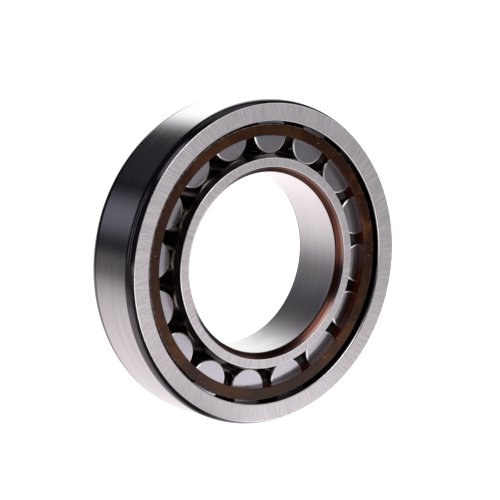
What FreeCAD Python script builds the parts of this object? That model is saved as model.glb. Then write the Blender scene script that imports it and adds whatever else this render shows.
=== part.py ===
import FreeCAD, Part
import math
import os

# Single-row cylindrical roller bearing, in millimetres.
# The bearing axis is Y and the origin is at the bearing's centre. The front side faces -Y.
# The outer ring carries two flanges that guide the rollers. The inner ring is plain, so it can
# slide out along the axis. A moulded window cage spaces the rollers and rides on them.

# Boundary dimensions
BORE_DIAMETER = 50.0
OUTSIDE_DIAMETER = 90.0
WIDTH = 20.0

# Rollers
ROLLER_COUNT = 16
ROLLER_DIAMETER = 11.0
ROLLER_LENGTH = 12.0
ROLLER_CORNER = 0.5
FIRST_ROLLER_DEG = 16.0

# Raceways. Their diameters leave the rollers a diametral internal clearance of 0.05.
INNER_RACEWAY_DIAMETER = 59.5
OUTER_RACEWAY_DIAMETER = 81.55

# Outer ring
FLANGE_BORE_DIAMETER = 78.2
FLANGE_END_CLEARANCE = 0.04
FLANGE_EDGE_RADIUS = 0.5
FLANGE_INSIDE_EDGE = 0.3
RELIEF_DEPTH = 0.35
RELIEF_START = 5.2
RELIEF_ENTRY_BLEND = 0.1
RELIEF_CORNER_BLEND = 0.2
OUTER_FACE_DIAMETER = 88.0
LEAD_IN_CORNER = 8.2
LEAD_IN_RADIUS = 5.0

# Inner ring
INNER_FACE_OUTER_DIAMETER = 58.2
RACEWAY_RAMP_LENGTH = 2.5
RACEWAY_RAMP_BLEND = 0.5
BORE_CHAMFER = 1.7
BORE_CHAMFER_BLEND = 0.9

# Every other machined ring edge is broken by this radius.
EDGE_BREAK = 0.2

# Cage
CAGE_OUTER_DIAMETER = 76.6
CAGE_RING_BORE_DIAMETER = 70.0
CAGE_RING_THICKNESS = 2.5
CAGE_EDGE_RADIUS = 0.35
POCKET_CLEARANCE = 0.2
POCKET_END_CLEARANCE = 0.15
BAR_INNER_RADIUS = 31.7
BAR_OVERLAP = 0.45
BAR_LEDGE_HALF_LENGTH = 4.9
BAR_LEDGE_RADIUS = 34.4
BAR_NOSE_HALF_LENGTH = 3.2
BAR_STEP_BLEND = 0.2
BAR_EDGE_BLEND = 0.35
BAR_WINDOW_MARGIN = 1.0
MARK_RADIUS = 0.65
MARK_LINE_WIDTH = 0.2
MARK_DEPTH = 0.1

# Derived dimensions
HALF_WIDTH = WIDTH / 2
HALF_ROLLER = ROLLER_LENGTH / 2
PITCH_RADIUS = (INNER_RACEWAY_DIAMETER + OUTER_RACEWAY_DIAMETER) / 4
ROLLER_PITCH_DEG = 360.0 / ROLLER_COUNT
POCKET_RADIUS = ROLLER_DIAMETER / 2 + POCKET_CLEARANCE
POCKET_HALF_LENGTH = HALF_ROLLER + POCKET_END_CLEARANCE
CAGE_RING_FRONT = POCKET_HALF_LENGTH + CAGE_RING_THICKNESS
CAGE_RING_MID_RADIUS = (CAGE_OUTER_DIAMETER + CAGE_RING_BORE_DIAMETER) / 4
BAR_HALF_LENGTH = POCKET_HALF_LENGTH + BAR_OVERLAP

ORIGIN = FreeCAD.Vector(0, 0, 0)
AXIS = FreeCAD.Vector(0, 1, 0)


def with_mirror(half):
    """A profile that is symmetric about y = 0, from the corners of its back half."""
    front = [(r, -y, blend) for r, y, blend in reversed(half)]
    return half + front


def rounded_wire(corners):
    """Closed wire through (r, y, blend radius) corners, with each corner rounded by its blend."""
    points = [FreeCAD.Vector(r, y, 0) for r, y, _ in corners]
    edges = []
    first = None
    last = None
    for i, (_, _, blend) in enumerate(corners):
        here = points[i]
        to_previous = (points[i - 1] - here).normalize()
        to_next = (points[(i + 1) % len(points)] - here).normalize()
        if blend:
            half_angle = to_previous.getAngle(to_next) / 2
            tangent = blend / math.tan(half_angle)
            bisector = (to_previous + to_next).normalize()
            middle = here + bisector * (blend / math.sin(half_angle) - blend)
            start = here + to_previous * tangent
            end = here + to_next * tangent
        else:
            start = here
            end = here
        if last is None:
            first = start
        else:
            edges.append(Part.makeLine(last, start))
        if blend:
            edges.append(Part.Arc(start, middle, end).toShape())
        last = end
    edges.append(Part.makeLine(last, first))
    return Part.Wire(edges)


def revolved(corners):
    """Solid of revolution about the bearing axis."""
    return Part.Face(rounded_wire(corners)).revolve(ORIGIN, AXIS, 360)


def axial_cylinder(radius, half_length, centre_r=0.0, centre_y=0.0):
    """Cylinder parallel to the bearing axis, centred at (centre_r, centre_y)."""
    base = FreeCAD.Vector(centre_r, centre_y - half_length, 0)
    return Part.makeCylinder(radius, 2 * half_length, base, AXIS)


def turned(shape, degrees):
    """Copy of a shape turned about the bearing axis, from +X towards +Z."""
    copy = shape.copy()
    copy.rotate(ORIGIN, AXIS, -degrees)
    return copy


def make_outer_ring():
    """Ring with a raceway between two flanges and a curved lead-in at each end of its outside."""
    outside_r = OUTSIDE_DIAMETER / 2
    face_r = OUTER_FACE_DIAMETER / 2
    flange_r = FLANGE_BORE_DIAMETER / 2
    raceway_r = OUTER_RACEWAY_DIAMETER / 2
    relief_r = raceway_r + RELIEF_DEPTH
    flange_y = HALF_ROLLER + FLANGE_END_CLEARANCE
    half = [
        (raceway_r, RELIEF_START, 0),
        (relief_r, RELIEF_START + RELIEF_DEPTH, RELIEF_ENTRY_BLEND),
        (relief_r, flange_y, RELIEF_CORNER_BLEND),
        (flange_r, flange_y, FLANGE_INSIDE_EDGE),
        (flange_r, HALF_WIDTH, FLANGE_EDGE_RADIUS),
        (face_r, HALF_WIDTH, EDGE_BREAK),
        (outside_r, LEAD_IN_CORNER, LEAD_IN_RADIUS),
    ]
    return revolved(with_mirror(half))


def make_inner_ring():
    """Plain ring with a ramp at each end of its raceway and a chamfered bore."""
    bore_r = BORE_DIAMETER / 2
    raceway_r = INNER_RACEWAY_DIAMETER / 2
    half = [
        (bore_r, HALF_WIDTH - BORE_CHAMFER, BORE_CHAMFER_BLEND),
        (bore_r + BORE_CHAMFER, HALF_WIDTH, EDGE_BREAK),
        (INNER_FACE_OUTER_DIAMETER / 2, HALF_WIDTH, EDGE_BREAK),
        (raceway_r, HALF_WIDTH - RACEWAY_RAMP_LENGTH, RACEWAY_RAMP_BLEND),
    ]
    return revolved(with_mirror(half))


def make_roller():
    """Roller with rounded corners, lying at radius PITCH_RADIUS on the +X side."""
    roller = axial_cylinder(ROLLER_DIAMETER / 2, HALF_ROLLER, PITCH_RADIUS)
    return roller.makeFillet(ROLLER_CORNER, [e for e in roller.Edges if e.Closed])


def make_cage_ring():
    """The cage's back side ring."""
    inner_r = CAGE_RING_BORE_DIAMETER / 2
    outer_r = CAGE_OUTER_DIAMETER / 2
    return revolved(
        [
            (inner_r, POCKET_HALF_LENGTH, 0),
            (inner_r, CAGE_RING_FRONT, CAGE_EDGE_RADIUS),
            (outer_r, CAGE_RING_FRONT, CAGE_EDGE_RADIUS),
            (outer_r, POCKET_HALF_LENGTH, 0),
        ]
    )


def make_bar():
    """Bar between two pockets, on the +X side.

    Its sides follow the rollers, so its inner edge is wide and keeps the rollers in the cage
    when the inner ring is taken out. Inside the bore of the side rings it is shorter: a narrow
    ledge lies deeper than the roller ends, and from there its ends slope away to the inner edge.
    """
    outer_r = CAGE_OUTER_DIAMETER / 2
    ring_bore_r = CAGE_RING_BORE_DIAMETER / 2
    half = [
        (BAR_INNER_RADIUS, BAR_NOSE_HALF_LENGTH, BAR_EDGE_BLEND),
        (BAR_LEDGE_RADIUS, BAR_LEDGE_HALF_LENGTH, BAR_STEP_BLEND),
        (ring_bore_r, BAR_LEDGE_HALF_LENGTH, BAR_STEP_BLEND),
        (ring_bore_r, BAR_HALF_LENGTH, 0),
        (outer_r, BAR_HALF_LENGTH, 0),
    ]
    stock = revolved(with_mirror(half))
    reach = ROLLER_DIAMETER / 3
    window = Part.makeBox(
        outer_r - BAR_INNER_RADIUS + 2 * BAR_WINDOW_MARGIN,
        2 * BAR_HALF_LENGTH,
        2 * reach,
        FreeCAD.Vector(BAR_INNER_RADIUS - BAR_WINDOW_MARGIN, -BAR_HALF_LENGTH, -reach),
    )
    pocket = axial_cylinder(POCKET_RADIUS, BAR_HALF_LENGTH, PITCH_RADIUS)
    pockets = [turned(pocket, s * ROLLER_PITCH_DEG / 2) for s in (-1, 1)]
    return stock.common(window).cut(pockets)


def make_mark():
    """Shallow circular groove left by an ejector pin, on the back side ring at +X."""
    half_depth = MARK_DEPTH / 2
    height = CAGE_RING_FRONT - half_depth
    disc = axial_cylinder(MARK_RADIUS, half_depth, CAGE_RING_MID_RADIUS, height)
    return disc.cut(
        axial_cylinder(
            MARK_RADIUS - MARK_LINE_WIDTH, half_depth, CAGE_RING_MID_RADIUS, height
        )
    )


def make_cage():
    """Window cage: two side rings joined by a bar between each pair of rollers."""
    back_ring = make_cage_ring()
    bar = make_bar()
    back_mark = make_mark()
    front_ring = back_ring.mirror(ORIGIN, AXIS)
    front_mark = back_mark.mirror(ORIGIN, AXIS)
    bars = []
    marks = []
    for k in range(ROLLER_COUNT):
        angle = FIRST_ROLLER_DEG + (k + 0.5) * ROLLER_PITCH_DEG
        bars.append(turned(bar, angle))
        marks.append(turned(back_mark, angle))
        marks.append(turned(front_mark, angle))
    body = back_ring.fuse([front_ring] + bars).removeSplitter()
    return body.cut(marks)


def export(node, shape):
    """Write one solid to parts/NODE.step."""
    solid = shape.Solids[0]
    if len(shape.Solids) != 1 or not solid.isValid():
        raise ValueError(node + " is not one valid solid")
    solid.exportStep(os.path.join("parts", node + ".step"))


def main():
    os.makedirs("parts", exist_ok=True)
    export("outer_ring", make_outer_ring())
    export("inner_ring", make_inner_ring())
    export("cage", make_cage())
    roller = make_roller()
    for k in range(ROLLER_COUNT):
        angle = FIRST_ROLLER_DEG + k * ROLLER_PITCH_DEG
        export("roller_%02d" % (k + 1), turned(roller, angle))


main()
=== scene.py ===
import math

import bpy
from mathutils import Matrix, Vector


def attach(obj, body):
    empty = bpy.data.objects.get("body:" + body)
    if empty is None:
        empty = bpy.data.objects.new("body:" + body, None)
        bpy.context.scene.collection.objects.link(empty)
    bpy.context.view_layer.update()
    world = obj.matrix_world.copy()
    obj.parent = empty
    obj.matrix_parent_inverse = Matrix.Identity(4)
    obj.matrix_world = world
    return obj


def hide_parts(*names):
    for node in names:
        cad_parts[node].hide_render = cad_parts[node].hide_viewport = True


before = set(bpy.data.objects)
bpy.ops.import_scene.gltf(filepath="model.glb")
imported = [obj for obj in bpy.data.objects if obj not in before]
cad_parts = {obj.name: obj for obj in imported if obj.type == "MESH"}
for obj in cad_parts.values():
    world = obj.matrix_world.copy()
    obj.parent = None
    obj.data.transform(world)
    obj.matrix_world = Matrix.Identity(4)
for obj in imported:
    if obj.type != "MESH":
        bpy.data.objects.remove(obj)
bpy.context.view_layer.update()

MM = 0.001

# ---------------------------------------------------------------- dimensions, in millimetres
HALF_WIDTH = 10.0
OUTSIDE_R = 45.0
OUTER_FACE_R = 44.0
FLANGE_R = 39.1
FLANGE_Y = 6.04
OUTER_RACE_R = 40.775
RELIEF_R = 41.125
RELIEF_Y = 5.2
RELIEF_DEPTH = 0.35
RELIEF_ENTRY_BLEND = 0.1
RELIEF_CORNER_BLEND = 0.2
FLANGE_INSIDE_EDGE = 0.3
FLANGE_EDGE = 0.5
LEAD_IN_Y = 8.2
LEAD_IN_BLEND = 5.0
INNER_RACE_R = 29.75
INNER_FACE_R = 29.1
RAMP_Y = 7.5
RAMP_BLEND = 0.5
BORE_R = 25.0
BORE_CHAMFER = 1.7
BORE_CHAMFER_BLEND = 0.9
EDGE_BREAK = 0.2
ROLLER_R = 5.5
ROLLER_HALF = 6.0
ROLLER_CORNER = 0.5
PITCH_R = 35.2625
ROLLERS = 16
FIRST_ROLLER = math.radians(16.0)
# Each roller is turned this much further than the one before, so that their grain differs.
ROLLER_TURN = 2.4
RING_SEGMENTS = 360
ROLLER_SEGMENTS = 128

# ---------------------------------------------------------------- places in materials, in metres
FLOOR_Z = -0.045
OUTER_FACE_MIDDLE = 0.0418
INNER_FACE_MIDDLE = 0.0279
ROLLER_END_MIDDLE = 0.003
CHAMFER_TINT_START = 0.02585
CHAMFER_TINT_END = 0.02620

# Zones of the cage's material, each from where it starts to where it is full. MARK_TOP is where
# the zone of the ejector marks fades out again, and they lie within MARK_REACH of MARK_RADIUS.
# Depth is the distance from the bearing's middle plane.
MARK_RADIUS, MARK_REACH = 0.03665, 0.0009
MARK_BOTTOM = (0.00853, 0.00855)
MARK_TOP = (0.00857, 0.00863)
# The next two zones place a painted highlight along the cage's outer rim edge.
RIM_HIGHLIGHT_RADIUS = (0.0379, 0.0382)
RIM_HIGHLIGHT_DEPTH = (0.0081, 0.0085)
# Outside the next two zones the cage has painted shade, nearly black short of the recess depth
# below.
RING_RADIUS = (0.0348, 0.0352)
RING_DEPTH = (0.0062, 0.0086)
SHADED_RECESS_DEPTH = (0.0050, 0.0062)


# ---------------------------------------------------------------- grain, in noise cells per metre
ALONG_LINES = 40.0
ALONG_STROKES = 130.0
TURNING_LINES = 2200.0
BLOTCHES = 220.0
# The two sets of strokes on a ground face: lean in radians per metre, and fineness
STROKES = ((5.0, 1.0), (-3.0, 1.7))


# ---------------------------------------------------------------- mesh building
def rounded_profile(corners, closed, steps=6):
    """Points (position, normal, slot) along a clockwise (radius, y) outline.

    A corner is (radius, y, blend radius, slot of its arc, slot of the edge after it).
    """
    points = []
    count = len(corners)
    for i, (r, y, blend, arc_slot, edge_slot) in enumerate(corners):
        here = Vector((r, y))
        before = Vector(corners[i - 1][:2])
        after = Vector(corners[(i + 1) % count][:2])
        into = (here - before).normalized()
        out = (after - here).normalized()
        if not closed and i == 0:
            into = out
        if not closed and i == count - 1:
            out = into
        turn = math.atan2(into.x * out.y - into.y * out.x, into.dot(out))
        normal = Vector((-into.y, into.x))
        if not blend or abs(turn) < 1e-6:
            points.append((here, normal, edge_slot))
            continue
        side = 1 if turn < 0 else -1
        tangent = blend * math.tan(abs(turn) / 2)
        centre = here - into * tangent - normal * (blend * side)
        for k in range(steps + 1):
            c, s = math.cos(turn * k / steps), math.sin(turn * k / steps)
            n = Vector((normal.x * c - normal.y * s, normal.x * s + normal.y * c))
            points.append((centre + n * (blend * side), n, arc_slot if k < steps else edge_slot))
    return points


def revolve(name, points, closed, segments, materials):
    """Mesh of revolution about Y with exact normals, so broad flats stay flat in the light."""
    verts = []
    normals = []
    rows = []
    for position, normal, _ in points:
        row = []
        if position.x < 1e-6:
            row = [len(verts)] * segments
            verts.append((0.0, position.y * MM, 0.0))
            normals.append((0.0, normal.y, 0.0))
        else:
            for s in range(segments):
                a = 2 * math.pi * s / segments
                row.append(len(verts))
                across, up = math.cos(a), math.sin(a)
                verts.append((position.x * MM * across, position.y * MM, position.x * MM * up))
                normals.append((normal.x * across, normal.y, normal.x * up))
        rows.append(row)
    faces = []
    slots = []
    spans = len(points) if closed else len(points) - 1
    for i in range(spans):
        low, high = rows[i], rows[(i + 1) % len(rows)]
        for s in range(segments):
            t = (s + 1) % segments
            loop = [low[s], low[t], high[t], high[s]]
            loop = [v for k, v in enumerate(loop) if v != loop[k - 1]]
            faces.append(loop)
            slots.append(points[i][2])
    mesh = bpy.data.meshes.new(name)
    mesh.from_pydata(verts, [], faces)
    mesh.polygons.foreach_set("material_index", slots)
    mesh.polygons.foreach_set("use_smooth", [True] * len(faces))
    for material in materials:
        mesh.materials.append(material)
    mesh.update()
    mesh.normals_split_custom_set_from_vertices(normals)
    return mesh


def link(name, mesh):
    """Object with this mesh, in the scene."""
    obj = bpy.data.objects.new(name, mesh)
    bpy.context.scene.collection.objects.link(obj)
    return obj


def with_mirror(half, closing_slot):
    """Closed outline symmetric about y = 0. Each mirrored edge keeps its partner's slot."""
    mirrored = []
    for i in range(len(half) - 1, -1, -1):
        r, y, blend, arc_slot, _ = half[i]
        edge = half[i - 1][4] if i else closing_slot
        mirrored.append((r, -y, blend, arc_slot, edge))
    return half + mirrored


# ---------------------------------------------------------------- materials
def put(tree, kind, inputs=None, **settings):
    """Add a shader node. An input may be a value or another node's socket."""
    node = tree.nodes.new(kind)
    for key, value in settings.items():
        setattr(node, key, value)
    for key, value in (inputs or {}).items():
        if isinstance(value, bpy.types.NodeSocket):
            tree.links.new(value, node.inputs[key])
        else:
            node.inputs[key].default_value = value
    return node


def math_node(tree, operation, a, b=0.0):
    """Result of an operation on one or two values."""
    return put(tree, "ShaderNodeMath", {0: a, 1: b}, operation=operation).outputs[0]


def vector_node(tree, operation, a, b=(0, 0, 0)):
    """Result of an operation on vectors. For LENGTH it is a value, otherwise a vector."""
    node = put(tree, "ShaderNodeVectorMath", {0: a, 1: b}, operation=operation)
    return node.outputs["Value" if operation == "LENGTH" else "Vector"]


def noise(tree, vector, scale, detail=3.0, rough=0.6):
    """Noise between 0 and 1, mostly near 0.5."""
    settings = {"Vector": vector, "Scale": scale, "Detail": detail, "Roughness": rough}
    return put(tree, "ShaderNodeTexNoise", settings).outputs[0]


def ramp(tree, value, low, high, to_low, to_high):
    """Smooth change from to_low to to_high as value goes from low to high."""
    node = put(
        tree,
        "ShaderNodeMapRange",
        {"Value": value, "From Min": low, "From Max": high, "To Min": to_low, "To Max": to_high},
        interpolation_type="SMOOTHSTEP",
    )
    return node.outputs["Result"]


def weighted(tree, a, weight_a, b, weight_b):
    """Sum of two values, each times its weight."""
    part_a = math_node(tree, "MULTIPLY", a, weight_a)
    part_b = math_node(tree, "MULTIPLY", b, weight_b)
    return math_node(tree, "ADD", part_a, part_b)


def mix_color(tree, factor, a, b):
    """Colour a where the factor is 0 and colour b where it is 1."""
    node = put(tree, "ShaderNodeMix", data_type="RGBA")
    for index, value in ((0, factor), (6, a), (7, b)):
        if isinstance(value, bpy.types.NodeSocket):
            tree.links.new(value, node.inputs[index])
        elif index:
            node.inputs[index].default_value = (*value, 1.0)
        else:
            node.inputs[index].default_value = value
    return node.outputs[2]


def new_material(name):
    """Empty material, its tree and shader, and the place on the object in metres."""
    material = bpy.data.materials.new(name)
    material.use_nodes = True
    tree = material.node_tree
    tree.nodes.clear()
    shader = put(tree, "ShaderNodeBsdfPrincipled")
    output = put(tree, "ShaderNodeOutputMaterial")
    tree.links.new(shader.outputs[0], output.inputs[0])
    place = put(tree, "ShaderNodeTexCoord").outputs["Object"]
    return material, tree, shader, place


def cylinder_grain(tree, place, across):
    """Coordinates in which noise runs round the axis in long lines, with across cells per metre
    along the axis.
    """
    return vector_node(tree, "MULTIPLY", place, (ALONG_LINES, across, ALONG_LINES))


def face_grain(tree, place, mid_radius, skew, across):
    """Coordinates in which noise runs outward in strokes that lean by skew radians per metre."""
    flat = vector_node(tree, "MULTIPLY", place, (1, 0, 1))
    radius = vector_node(tree, "LENGTH", flat)
    outward = vector_node(tree, "NORMALIZE", flat)
    lean = math_node(tree, "MULTIPLY", math_node(tree, "SUBTRACT", radius, mid_radius), skew)
    turned = put(
        tree,
        "ShaderNodeVectorRotate",
        {"Vector": outward, "Angle": lean},
        rotation_type="Y_AXIS",
    ).outputs[0]
    spread = vector_node(tree, "MULTIPLY", turned, (across, across, across))
    rise = math_node(tree, "MULTIPLY", radius, ALONG_STROKES)
    lift = put(tree, "ShaderNodeCombineXYZ", {"Y": rise}).outputs[0]
    return vector_node(tree, "ADD", spread, lift)


def finish_metal(tree, shader, color, tint, grain, rough, height, anisotropic=0.0):
    """Metal whose colour, roughness and height follow a grain value between 0 and 1."""
    shader.inputs["Metallic"].default_value = 1.0
    shader.inputs["Anisotropic"].default_value = anisotropic
    shade = mix_color(tree, ramp(tree, grain, 0.25, 0.75, 0.0, 1.0), tint, color)
    tree.links.new(shade, shader.inputs["Base Color"])
    tree.links.new(ramp(tree, grain, 0.25, 0.75, rough[0], rough[1]), shader.inputs["Roughness"])
    bump = put(tree, "ShaderNodeBump", {"Strength": 1.0, "Distance": height, "Height": grain})
    tree.links.new(bump.outputs[0], shader.inputs["Normal"])


def ground_cylinder(name, color, tint, rough, across=2600.0, height=3e-6, anisotropic=0.4):
    """Ground outside, bore or raceway: fine lines round the axis."""
    material, tree, shader, place = new_material(name)
    fine = noise(tree, cylinder_grain(tree, place, across), 1.0, 4.0)
    broad = noise(tree, cylinder_grain(tree, place, across / 9), 1.0, 2.0)
    grain = weighted(tree, fine, 0.65, broad, 0.35)
    finish_metal(tree, shader, color, tint, grain, rough, height, anisotropic)
    tangent = put(tree, "ShaderNodeTangent", direction_type="RADIAL", axis="Y")
    tree.links.new(tangent.outputs[0], shader.inputs["Tangent"])
    return material


def ground_face(name, color, tint, rough, mid_radius, across=300.0, height=3e-6):
    """Ground side face: two sets of fine outward strokes that cross at a shallow angle."""
    material, tree, shader, place = new_material(name)
    lines = []
    for skew, fineness in STROKES:
        coords = face_grain(tree, place, mid_radius, skew, across * fineness)
        lines.append(ramp(tree, noise(tree, coords, 1.0, 3.0, 0.7), 0.36, 0.64, 0.0, 1.0))
    grain = weighted(tree, lines[0], 0.55, lines[1], 0.45)
    finish_metal(tree, shader, color, tint, grain, rough, height)
    return material


def turned_grain(tree, place):
    """Grain of a turned, hardened surface: turning lines round the axis, and blotches."""
    lines = noise(tree, cylinder_grain(tree, place, TURNING_LINES), 1.0, 3.0)
    blotch = noise(tree, place, BLOTCHES, 3.0)
    return weighted(tree, lines, 0.6, blotch, 0.4)


def scale_finish_and_painted_shade(name, color, tint, rough):
    """Turned, hardened surface, never ground, with faint turning lines: dark for its scale and
    for painted shade.
    """
    material, tree, shader, place = new_material(name)
    finish_metal(tree, shader, color, tint, turned_grain(tree, place), rough, 4e-6)
    return material


def heat_tint(name, near_bore, near_face, start, end):
    """Turned chamfer, darkened by hardening most of all next to the bore."""
    material, tree, shader, place = new_material(name)
    radius = vector_node(tree, "LENGTH", vector_node(tree, "MULTIPLY", place, (1, 0, 1)))
    dim = tuple(0.6 * v for v in near_face)
    finish_metal(tree, shader, near_face, dim, turned_grain(tree, place), (0.16, 0.26), 4e-6)
    metal = shader.inputs["Base Color"].links[0].from_socket
    color = mix_color(tree, ramp(tree, radius, start, end, 0.0, 1.0), near_bore, metal)
    tree.links.new(color, shader.inputs["Base Color"])
    return material


def within(tree, value, zone):
    """0 before the zone and 1 past it."""
    return ramp(tree, value, zone[0], zone[1], 0.0, 1.0)


def polymer(name):
    """Glass-filled polyamide, amber brown and patchy, with painted shade in the recesses and a
    painted highlight on the outer rim.
    """
    material, tree, shader, place = new_material(name)
    flat = vector_node(tree, "MULTIPLY", place, (1, 0, 1))
    radius = vector_node(tree, "LENGTH", flat)
    height = put(tree, "ShaderNodeSeparateXYZ", {0: place}).outputs["Y"]
    depth = math_node(tree, "ABSOLUTE", height)

    # Patches of amber in brown
    cloud = ramp(tree, noise(tree, place, 95.0, 4.0), 0.42, 0.62, 0.0, 1.0)
    drift = ramp(tree, noise(tree, place, 26.0, 1.0), 0.35, 0.65, 0.0, 1.0)
    amber = mix_color(tree, cloud, (0.024, 0.006, 0.0015), (0.098, 0.029, 0.005))
    color = mix_color(tree, drift, (0.026, 0.008, 0.003), amber)

    # Ejector marks
    below_face = ramp(tree, depth, MARK_TOP[0], MARK_TOP[1], 1.0, 0.0)
    groove = math_node(tree, "MULTIPLY", below_face, within(tree, depth, MARK_BOTTOM))
    ring_zone = math_node(tree, "COMPARE", radius, MARK_RADIUS)
    ring_zone.node.inputs[2].default_value = MARK_REACH
    mark = math_node(tree, "MULTIPLY", groove, ring_zone)
    color = mix_color(tree, mark, color, (0.10, 0.045, 0.020))

    # Painted highlight in dots along the outer rim's edge, and dust
    rim = math_node(
        tree, "MULTIPLY", within(tree, radius, RIM_HIGHLIGHT_RADIUS), within(tree, depth, RIM_HIGHLIGHT_DEPTH)
    )
    patches = ramp(tree, noise(tree, place, 900.0, 2.0), 0.45, 0.60, 0.15, 1.0)
    color = mix_color(tree, math_node(tree, "MULTIPLY", rim, patches), color, (0.22, 0.19, 0.17))
    dust = ramp(tree, noise(tree, place, 1500.0, 0.0), 0.80, 0.84, 0.0, 0.7)
    color = mix_color(tree, dust, color, (0.45, 0.40, 0.36))

    # Painted shade: dark red in the bore of the side rings, with a painted red glow of light
    # through the amber, and nearly black between the rollers
    on_face = math_node(
        tree, "MULTIPLY", within(tree, radius, RING_RADIUS), within(tree, depth, RING_DEPTH)
    )
    color = mix_color(tree, on_face, (0.045, 0.006, 0.003), color)
    color = mix_color(tree, within(tree, depth, SHADED_RECESS_DEPTH), (0.010, 0.003, 0.002), color)

    tree.links.new(color, shader.inputs["Base Color"])
    tree.links.new(ramp(tree, cloud, 0.0, 1.0, 0.16, 0.26), shader.inputs["Roughness"])
    shader.inputs["Specular IOR Level"].default_value = 0.24
    speck = noise(tree, place, 2600.0, 2.0)
    bump = put(tree, "ShaderNodeBump", {"Strength": 1.0, "Distance": 3e-6, "Height": speck})
    tree.links.new(bump.outputs[0], shader.inputs["Normal"])
    return material


STEEL = (0.74, 0.72, 0.75)
STEEL_DIM = (0.54, 0.52, 0.55)

face_outer = ground_face("steel_face_outer", STEEL, STEEL_DIM, (0.44, 0.52), OUTER_FACE_MIDDLE)
face_inner = ground_face(
    "steel_face_inner", STEEL, STEEL_DIM, (0.44, 0.52), INNER_FACE_MIDDLE, across=200.0
)
od = ground_cylinder(
    "steel_outside",
    (0.64, 0.62, 0.64),
    (0.48, 0.455, 0.48),
    (0.15, 0.21),
    across=3400.0,
    height=1.0e-6,
)
# The bore's steel is lighter than the outside's: painted light standing in for light it gets
# inside the ring.
bore = ground_cylinder("steel_bore", (0.78, 0.76, 0.77), (0.60, 0.58, 0.60), (0.34, 0.48))
# The raceways' dark brown is painted shade between the parts, with a painted amber reflection of
# the cage.
race = ground_cylinder(
    "steel_raceway_painted_shade", (0.19, 0.155, 0.135), (0.12, 0.098, 0.085), (0.14, 0.22), across=3200.0
)
# Lead-in: darker than bare steel, partly hardening scale and partly painted shade standing in for
# a dark reflection.
dark = scale_finish_and_painted_shade("steel_lead_in", (0.15, 0.14, 0.16), (0.08, 0.072, 0.085), (0.10, 0.18))
# Flange bore: near black, partly hardening scale and partly painted shade in the gap beside the
# cage.
flange_bore_painted_shade = scale_finish_and_painted_shade(
    "steel_flange_bore", (0.045, 0.040, 0.045), (0.025, 0.022, 0.026), (0.22, 0.34)
)
brown = heat_tint(
    "steel_bore_chamfer",
    (0.07, 0.026, 0.020),
    (0.21, 0.125, 0.105),
    CHAMFER_TINT_START,
    CHAMFER_TINT_END,
)
# Ramp of the inner ring: near black, partly hardening scale and partly painted shade in the slot
# between the inner ring and the cage.
ramp_scale_and_shade = scale_finish_and_painted_shade("steel_ramp", (0.10, 0.075, 0.07), (0.05, 0.035, 0.033), (0.25, 0.38))
edge = ground_cylinder("steel_edge", (0.95, 0.93, 0.96), (0.85, 0.83, 0.86), (0.20, 0.32))
roller_end = ground_face(
    "steel_roller_end",
    (0.56, 0.55, 0.61),
    (0.455, 0.445, 0.50),
    (0.16, 0.24),
    ROLLER_END_MIDDLE,
    across=60.0,
    height=1.5e-6,
)
roller_side = ground_cylinder(
    "steel_roller_side", (0.66, 0.65, 0.67), (0.54, 0.53, 0.55), (0.08, 0.14), across=3200.0
)
cage_plastic = polymer("polyamide_amber")

# ---------------------------------------------------------------- pieces
# The slot numbers in an outline count along its piece's list of materials.
outer_half = [
    (OUTER_RACE_R, RELIEF_Y, 0, 0, 0),
    (RELIEF_R, RELIEF_Y + RELIEF_DEPTH, RELIEF_ENTRY_BLEND, 0, 0),
    (RELIEF_R, FLANGE_Y, RELIEF_CORNER_BLEND, 0, 0),
    (FLANGE_R, FLANGE_Y, FLANGE_INSIDE_EDGE, 5, 5),
    (FLANGE_R, HALF_WIDTH, FLANGE_EDGE, 3, 2),
    (OUTER_FACE_R, HALF_WIDTH, EDGE_BREAK, 4, 1),
    (OUTSIDE_R, LEAD_IN_Y, LEAD_IN_BLEND, 1, 3),
]
outer_mesh = revolve(
    "outer_ring_body",
    rounded_profile(with_mirror(outer_half, 0), True),
    True,
    RING_SEGMENTS,
    [race, dark, face_outer, od, edge, flange_bore_painted_shade],
)
outer = link("outer_ring_body", outer_mesh)
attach(outer, "outer_ring")
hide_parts("outer_ring")

inner_half = [
    (BORE_R, HALF_WIDTH - BORE_CHAMFER, BORE_CHAMFER_BLEND, 1, 1),
    (BORE_R + BORE_CHAMFER, HALF_WIDTH, EDGE_BREAK, 5, 2),
    (INNER_FACE_R, HALF_WIDTH, EDGE_BREAK, 5, 4),
    (INNER_RACE_R, RAMP_Y, RAMP_BLEND, 4, 3),
]
inner_mesh = revolve(
    "inner_ring_body",
    rounded_profile(with_mirror(inner_half, 0), True),
    True,
    RING_SEGMENTS,
    [bore, brown, face_inner, race, ramp_scale_and_shade, edge],
)
inner = link("inner_ring_body", inner_mesh)
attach(inner, "inner_ring")
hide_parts("inner_ring")

roller_outline = [
    (0.0, ROLLER_HALF, 0, 0, 0),
    (ROLLER_R, ROLLER_HALF, ROLLER_CORNER, 2, 1),
    (ROLLER_R, -ROLLER_HALF, ROLLER_CORNER, 2, 0),
    (0.0, -ROLLER_HALF, 0, 0, 0),
]
roller_mesh = revolve(
    "roller_body",
    rounded_profile(roller_outline, False),
    False,
    ROLLER_SEGMENTS,
    [roller_end, roller_side, edge],
)
for k in range(ROLLERS):
    a = FIRST_ROLLER + 2 * math.pi * k / ROLLERS
    body = "roller_%02d" % (k + 1)
    roller = link(body + "_body", roller_mesh)
    place = Matrix.Translation((PITCH_R * MM * math.cos(a), 0.0, PITCH_R * MM * math.sin(a)))
    roller.matrix_world = place @ Matrix.Rotation(ROLLER_TURN * k, 4, "Y")
    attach(roller, body)
    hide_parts(body)

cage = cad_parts["cage"]
cage.data.materials.clear()
cage.data.materials.append(cage_plastic)


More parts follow.
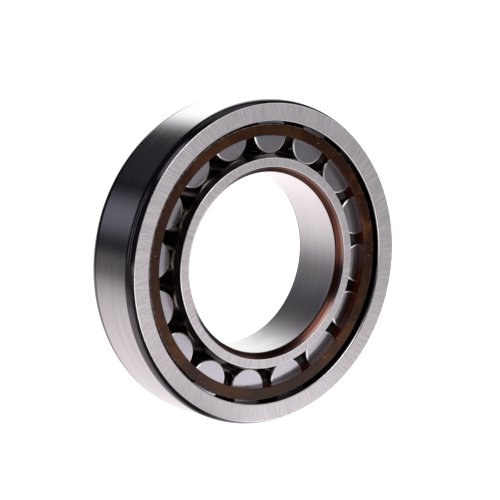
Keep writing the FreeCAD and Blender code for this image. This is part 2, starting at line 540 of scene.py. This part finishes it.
# ---------------------------------------------------------------- studio
PAPER_TO_CAMERA = 1.35
SWEEP_TO_CAMERA = 1.3
ROOM_GLOW = 0.035


def by_ray(tree, mirrored, seen):
    """One shader for reflections and lighting, and another for what the camera sees."""
    camera_ray = put(tree, "ShaderNodeLightPath").outputs["Is Camera Ray"]
    mix = put(tree, "ShaderNodeMixShader", {0: camera_ray, 1: mirrored, 2: seen})
    return mix.outputs[0]


def glow_material(name):
    """Empty emission material and its tree."""
    material = bpy.data.materials.new(name)
    material.use_nodes = True
    tree = material.node_tree
    tree.nodes.clear()
    return material, tree


def floor_paper(name):
    """White paper sweep.

    To the camera it is evenly bright. In reflections its brightness depends on the place, so that
    the steel mirrors light and dark areas where the photo has them.
    """
    material, tree = glow_material(name)
    place = put(tree, "ShaderNodeTexCoord").outputs["Object"]
    spot = put(tree, "ShaderNodeSeparateXYZ", {0: place})
    x, y = spot.outputs["X"], spot.outputs["Y"]

    # Behind the bearing: it fades to the left and is brightest at the right.
    left = ramp(tree, x, -0.22, -0.02, 0.15, 1.13)
    right_side = ramp(tree, x, -0.01, 0.05, 0.0, 0.45)
    behind = math_node(tree, "ADD", left, right_side)

    # In front: brightest far to the left and close by, and half as bright far in front.
    across = math_node(tree, "ADD", x, math_node(tree, "MULTIPLY", y, 0.6))
    in_front = ramp(tree, across, 0.01, 0.08, 0.80, 0.34)
    in_front = math_node(tree, "ADD", in_front, ramp(tree, across, -0.12, -0.03, 0.9, 0.0))
    in_front = math_node(tree, "ADD", in_front, ramp(tree, y, -0.13, -0.06, 0.0, 0.40))
    in_front = math_node(tree, "MULTIPLY", in_front, ramp(tree, y, -0.30, -0.12, 0.50, 1.0))

    # In front: a painted shadow of the bearing, nearly dark, at its left and close to it.
    right_of_dark = ramp(tree, x, -0.022, -0.002, 0.04, 1.0)
    ahead_of_dark = ramp(tree, y, -0.055, -0.028, 1.0, 0.04)
    shade = math_node(tree, "MAXIMUM", right_of_dark, ahead_of_dark)
    in_front = math_node(tree, "MULTIPLY", in_front, shade)

    share = ramp(tree, y, -0.006, 0.004, 0.0, 1.0)
    sides = put(tree, "ShaderNodeMix", {0: share, 2: in_front, 3: behind}, data_type="FLOAT")
    lit = put(
        tree,
        "ShaderNodeEmission",
        {"Color": (1.0, 0.95, 0.96, 1.0), "Strength": sides.outputs[0]},
    )
    plain = put(
        tree,
        "ShaderNodeEmission",
        {"Color": (1.0, 0.985, 0.985, 1.0), "Strength": PAPER_TO_CAMERA},
    )
    surface = by_ray(tree, lit.outputs[0], plain.outputs[0])
    put(tree, "ShaderNodeOutputMaterial", {0: surface})
    return material


def plane(name, x0, x1, y0, y1, material):
    """Flat rectangle of the staging, facing +Z."""
    mesh = bpy.data.meshes.new(name)
    mesh.from_pydata([(x0, y0, 0), (x1, y0, 0), (x1, y1, 0), (x0, y1, 0)], [], [(0, 1, 2, 3)])
    mesh.materials.append(material)
    obj = link(name, mesh)
    return obj


floor = plane("floor", -1.2, 4.0, -1.2, 4.0, floor_paper("floor_white"))
floor.location.z = FLOOR_Z


def softbox(name, azimuth, elevation, spread, soft, radiance, color=(1, 1, 1), distance=1.5):
    """Glowing panel that faces the bearing. It lights it and shows in its reflections, but isn't
    seen by the camera.

    Azimuth runs from +Y towards +X. Spread and soft are (left, right, down, up) in degrees from
    the panel's middle: how far it reaches, and how much of that is its fading edge.
    """
    reach = [distance * math.tan(math.radians(v)) for v in spread]
    full = [distance * math.tan(math.radians(v - w)) for v, w in zip(spread, soft)]
    material, tree = glow_material(name)
    place = put(tree, "ShaderNodeTexCoord").outputs["Object"]
    spot = put(tree, "ShaderNodeSeparateXYZ", {0: place})
    x, y = spot.outputs["X"], spot.outputs["Y"]
    strength = ramp(tree, x, -reach[0], -full[0], 0.0, radiance)
    for side in (
        ramp(tree, x, full[1], reach[1], 1.0, 0.0),
        ramp(tree, y, -reach[2], -full[2], 0.0, 1.0),
        ramp(tree, y, full[3], reach[3], 1.0, 0.0),
    ):
        strength = math_node(tree, "MULTIPLY", strength, side)
    back_side = put(tree, "ShaderNodeNewGeometry").outputs["Backfacing"]
    front = math_node(tree, "SUBTRACT", 1.0, back_side)
    strength = math_node(tree, "MULTIPLY", strength, front)
    glow = put(tree, "ShaderNodeEmission", {"Color": (*color, 1.0), "Strength": strength})
    put(tree, "ShaderNodeOutputMaterial", {0: glow.outputs[0]})
    panel = plane(name, -reach[0], reach[1], -reach[2], reach[3], material)
    a, e = math.radians(azimuth), math.radians(elevation)
    toward = Vector((math.sin(a) * math.cos(e), math.cos(a) * math.cos(e), math.sin(e)))
    # The panel's own x runs to the right as the bearing sees it.
    side_axis = Vector((math.cos(a), -math.sin(a), 0.0))
    up_axis = side_axis.cross(toward)
    turn = Matrix((side_axis, up_axis, -toward)).transposed().to_4x4()
    panel.matrix_world = Matrix.Translation(toward * distance) @ turn
    panel.visible_camera = False


softbox("backdrop_light", 32, 12, (28.5, 18, 24, 28), (17, 6, 4, 6), 1.75)
softbox("left_glow", -34, 15, (10, 10, 13, 13), (8, 8, 12, 12), 0.27, (0.87, 0.83, 1.0))
softbox("front_light", 140, 22, (38, 30, 22, 28), (10, 10, 12, 10), 1.15)
softbox("right_glow", 85, 24, (22, 20, 24, 24), (8, 8, 8, 8), 0.40, (1.0, 0.82, 0.78))
softbox("crown_light", -93, 64, (13, 13, 18, 14), (7, 7, 9, 8), 0.85, (0.92, 0.88, 1.0))
softbox("overhead", 50, 66, (26, 26, 16, 18), (10, 10, 8, 8), 0.28)
softbox("strip_near", -56, 16, (1.6, 1.6, 26, 26), (0.8, 0.8, 10, 10), 1.6, (0.92, 0.95, 1.0))
softbox("strip_far", -72, 16, (1.6, 1.6, 26, 26), (0.8, 0.8, 10, 10), 1.2, (0.92, 0.95, 1.0))
softbox("camera_light", -155, 46, (28, 26, 16, 20), (8, 8, 8, 8), 3.2)

world = bpy.data.worlds.new("studio")
bpy.context.scene.world = world
world.use_nodes = True
tree = world.node_tree
tree.nodes.clear()
room = put(
    tree, "ShaderNodeBackground", {"Color": (0.85, 0.78, 1.0, 1.0), "Strength": ROOM_GLOW}
)
sweep = put(tree, "ShaderNodeBackground", {"Color": (1, 1, 1, 1), "Strength": SWEEP_TO_CAMERA})
put(tree, "ShaderNodeOutputWorld", {0: by_ray(tree, room.outputs[0], sweep.outputs[0])})

# ---------------------------------------------------------------- camera
AZIMUTH, ELEVATION = math.radians(-36.51), math.radians(9.68)
DISTANCE = 0.7423
OFF_RIGHT, OFF_UP = 0.00106, 0.00235
FOCAL_LENGTH, SENSOR_WIDTH = 193.4, 36.0
level = math.cos(ELEVATION)
back = Vector((math.sin(AZIMUTH) * level, -math.cos(AZIMUTH) * level, math.sin(ELEVATION)))
right = Vector((0, 0, 1)).cross(back).normalized()
up = back.cross(right)
camera_data = bpy.data.cameras.new("camera")
camera_data.lens = FOCAL_LENGTH
camera_data.sensor_width = SENSOR_WIDTH
camera_data.clip_start = 0.05
camera = bpy.data.objects.new("camera", camera_data)
turn = Matrix((right, up, back)).transposed().to_4x4()
camera.matrix_world = Matrix.Translation(back * DISTANCE + right * OFF_RIGHT + up * OFF_UP) @ turn
bpy.context.scene.collection.objects.link(camera)
bpy.context.scene.camera = camera

view = bpy.context.scene.view_settings
view.view_transform = "Standard"
view.look = "None"
view.exposure = 0.0
view.gamma = 1.0
